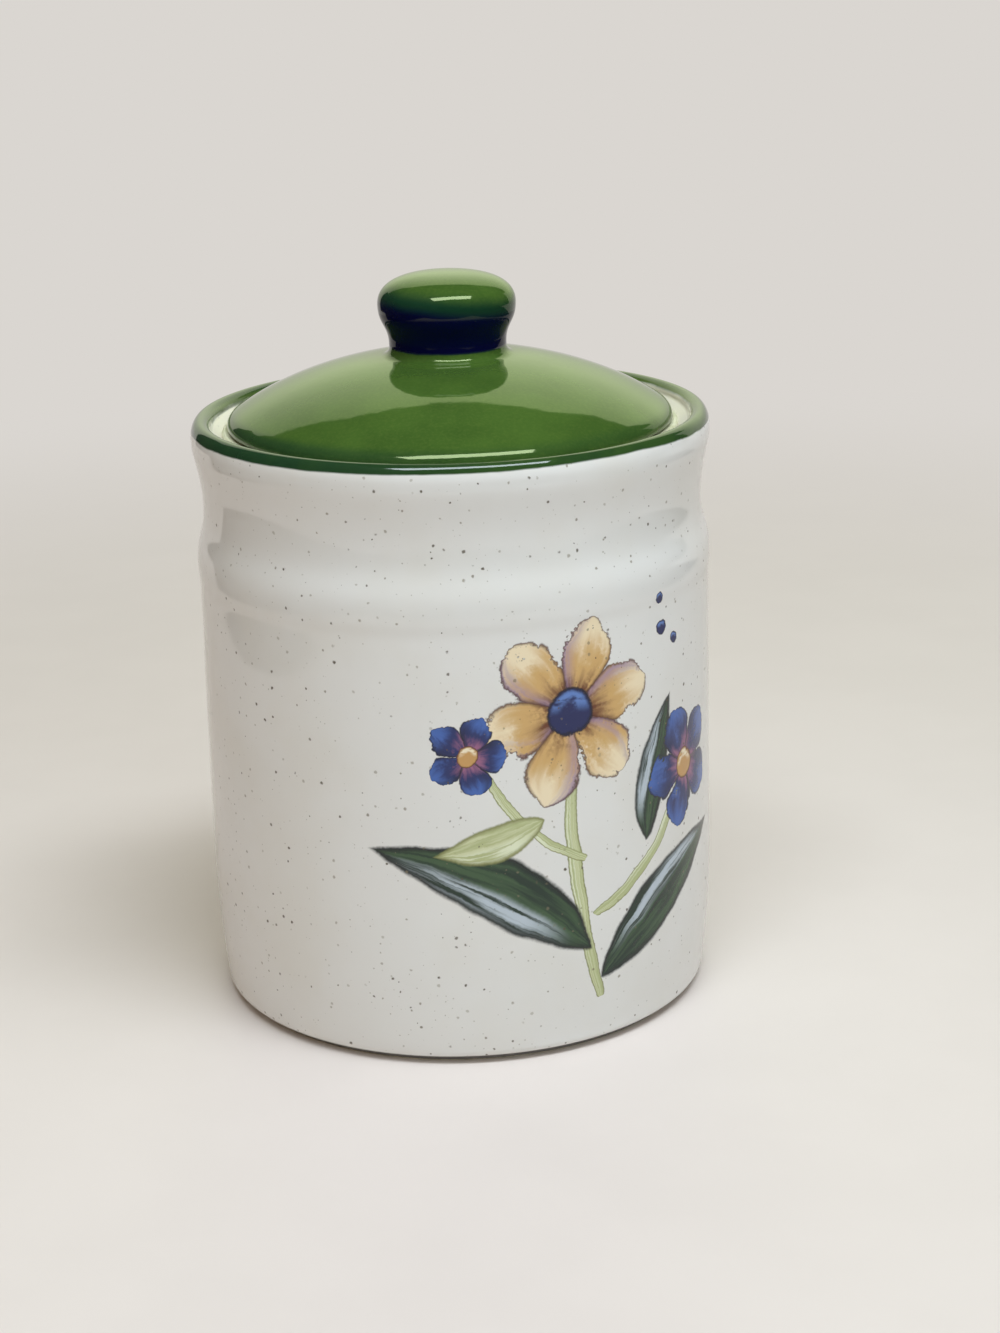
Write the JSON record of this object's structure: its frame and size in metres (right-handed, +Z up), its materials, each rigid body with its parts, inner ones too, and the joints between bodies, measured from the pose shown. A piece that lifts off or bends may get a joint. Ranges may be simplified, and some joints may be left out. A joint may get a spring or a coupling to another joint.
{
  "type": "kitchen canister",
  "caption": "Glazed stoneware kitchen canister: a round jar with a flared lip and an inner ledge, and a domed lid with a knob that lifts off and turns on a clear seal.",
  "frame": {"origin": "on the table, under the middle of the jar's foot ring", "axes": "+Z up along the jar's axis, -Y towards the picture's viewer, +X to the viewer's right"},
  "size_m": [0.152, 0.152, 0.2164],
  "materials": {
    "speckled_glaze": "glossy off-white glaze with fine brown and grey specks",
    "green_glaze": "glossy moss green glaze",
    "clear_silicone": "translucent moulded silicone"
  },
  "bodies": {
    "jar": {"jar": "speckled_glaze"},
    "seal": {"lid_seal": "clear_silicone"},
    "lid": {"lid": "green_glaze"}
  },
  "joints": [
    {"name": "lid_lift", "type": "slide", "parent": "jar", "child": "seal", "axis": [0, 0, 1], "range_m": [0, 0.15]},
    {"name": "lid_turn", "type": "hinge", "parent": "seal", "child": "lid", "pos_m": [0, 0, 0.1725], "axis": [0, 0, 1], "continuous": true}
  ]
}
